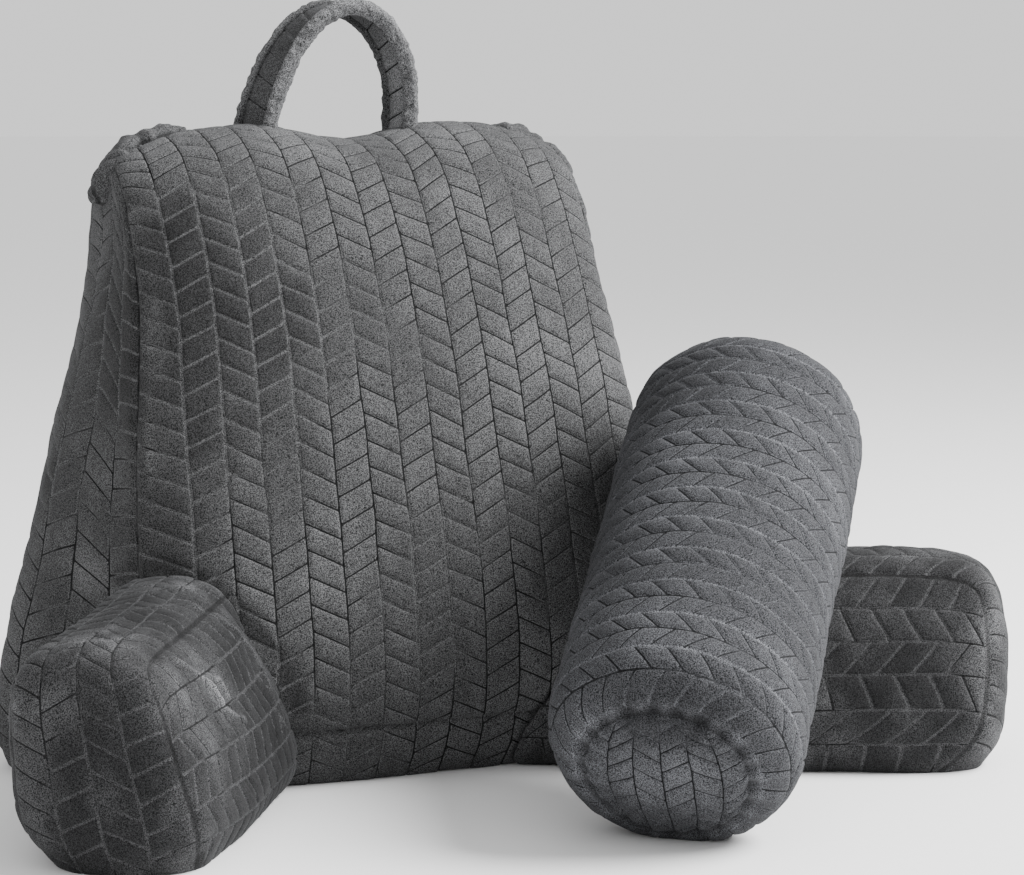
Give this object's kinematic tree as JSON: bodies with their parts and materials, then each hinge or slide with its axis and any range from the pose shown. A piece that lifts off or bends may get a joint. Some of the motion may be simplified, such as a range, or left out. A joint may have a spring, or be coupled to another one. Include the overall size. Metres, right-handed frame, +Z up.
{
  "type": "reading pillow with its neck roll",
  "caption": "Leaning back cushion with two splayed arms, carry handle, corner loops, side pocket and a loose round neck roll, in herringbone embossed plush.",
  "frame": {"origin": "on the flat base of the back cushion, just behind the middle of its front edge; the base rests at z = 0", "axes": "+Z up, -Y towards the sitter, +X to the right when looking at the front of the back cushion"},
  "size_m": [0.8486, 0.6339, 0.6222],
  "materials": {
    "plush_back": "embossed herringbone plush",
    "plush_arm": "embossed herringbone plush",
    "plush_pocket": "embossed herringbone plush",
    "plush_handle": "embossed herringbone plush",
    "plush_loop": "gathered plush",
    "plush_roll": "embossed herringbone plush"
  },
  "bodies": {
    "root": {"back_cushion": "plush_back", "arm_left": "plush_arm", "arm_right": "plush_arm", "side_pocket": "plush_pocket", "carry_handle": "plush_handle", "corner_loop_left": "plush_loop", "corner_loop_right": "plush_loop", "neck_roll": "plush_roll"}
  },
  "joints": []
}
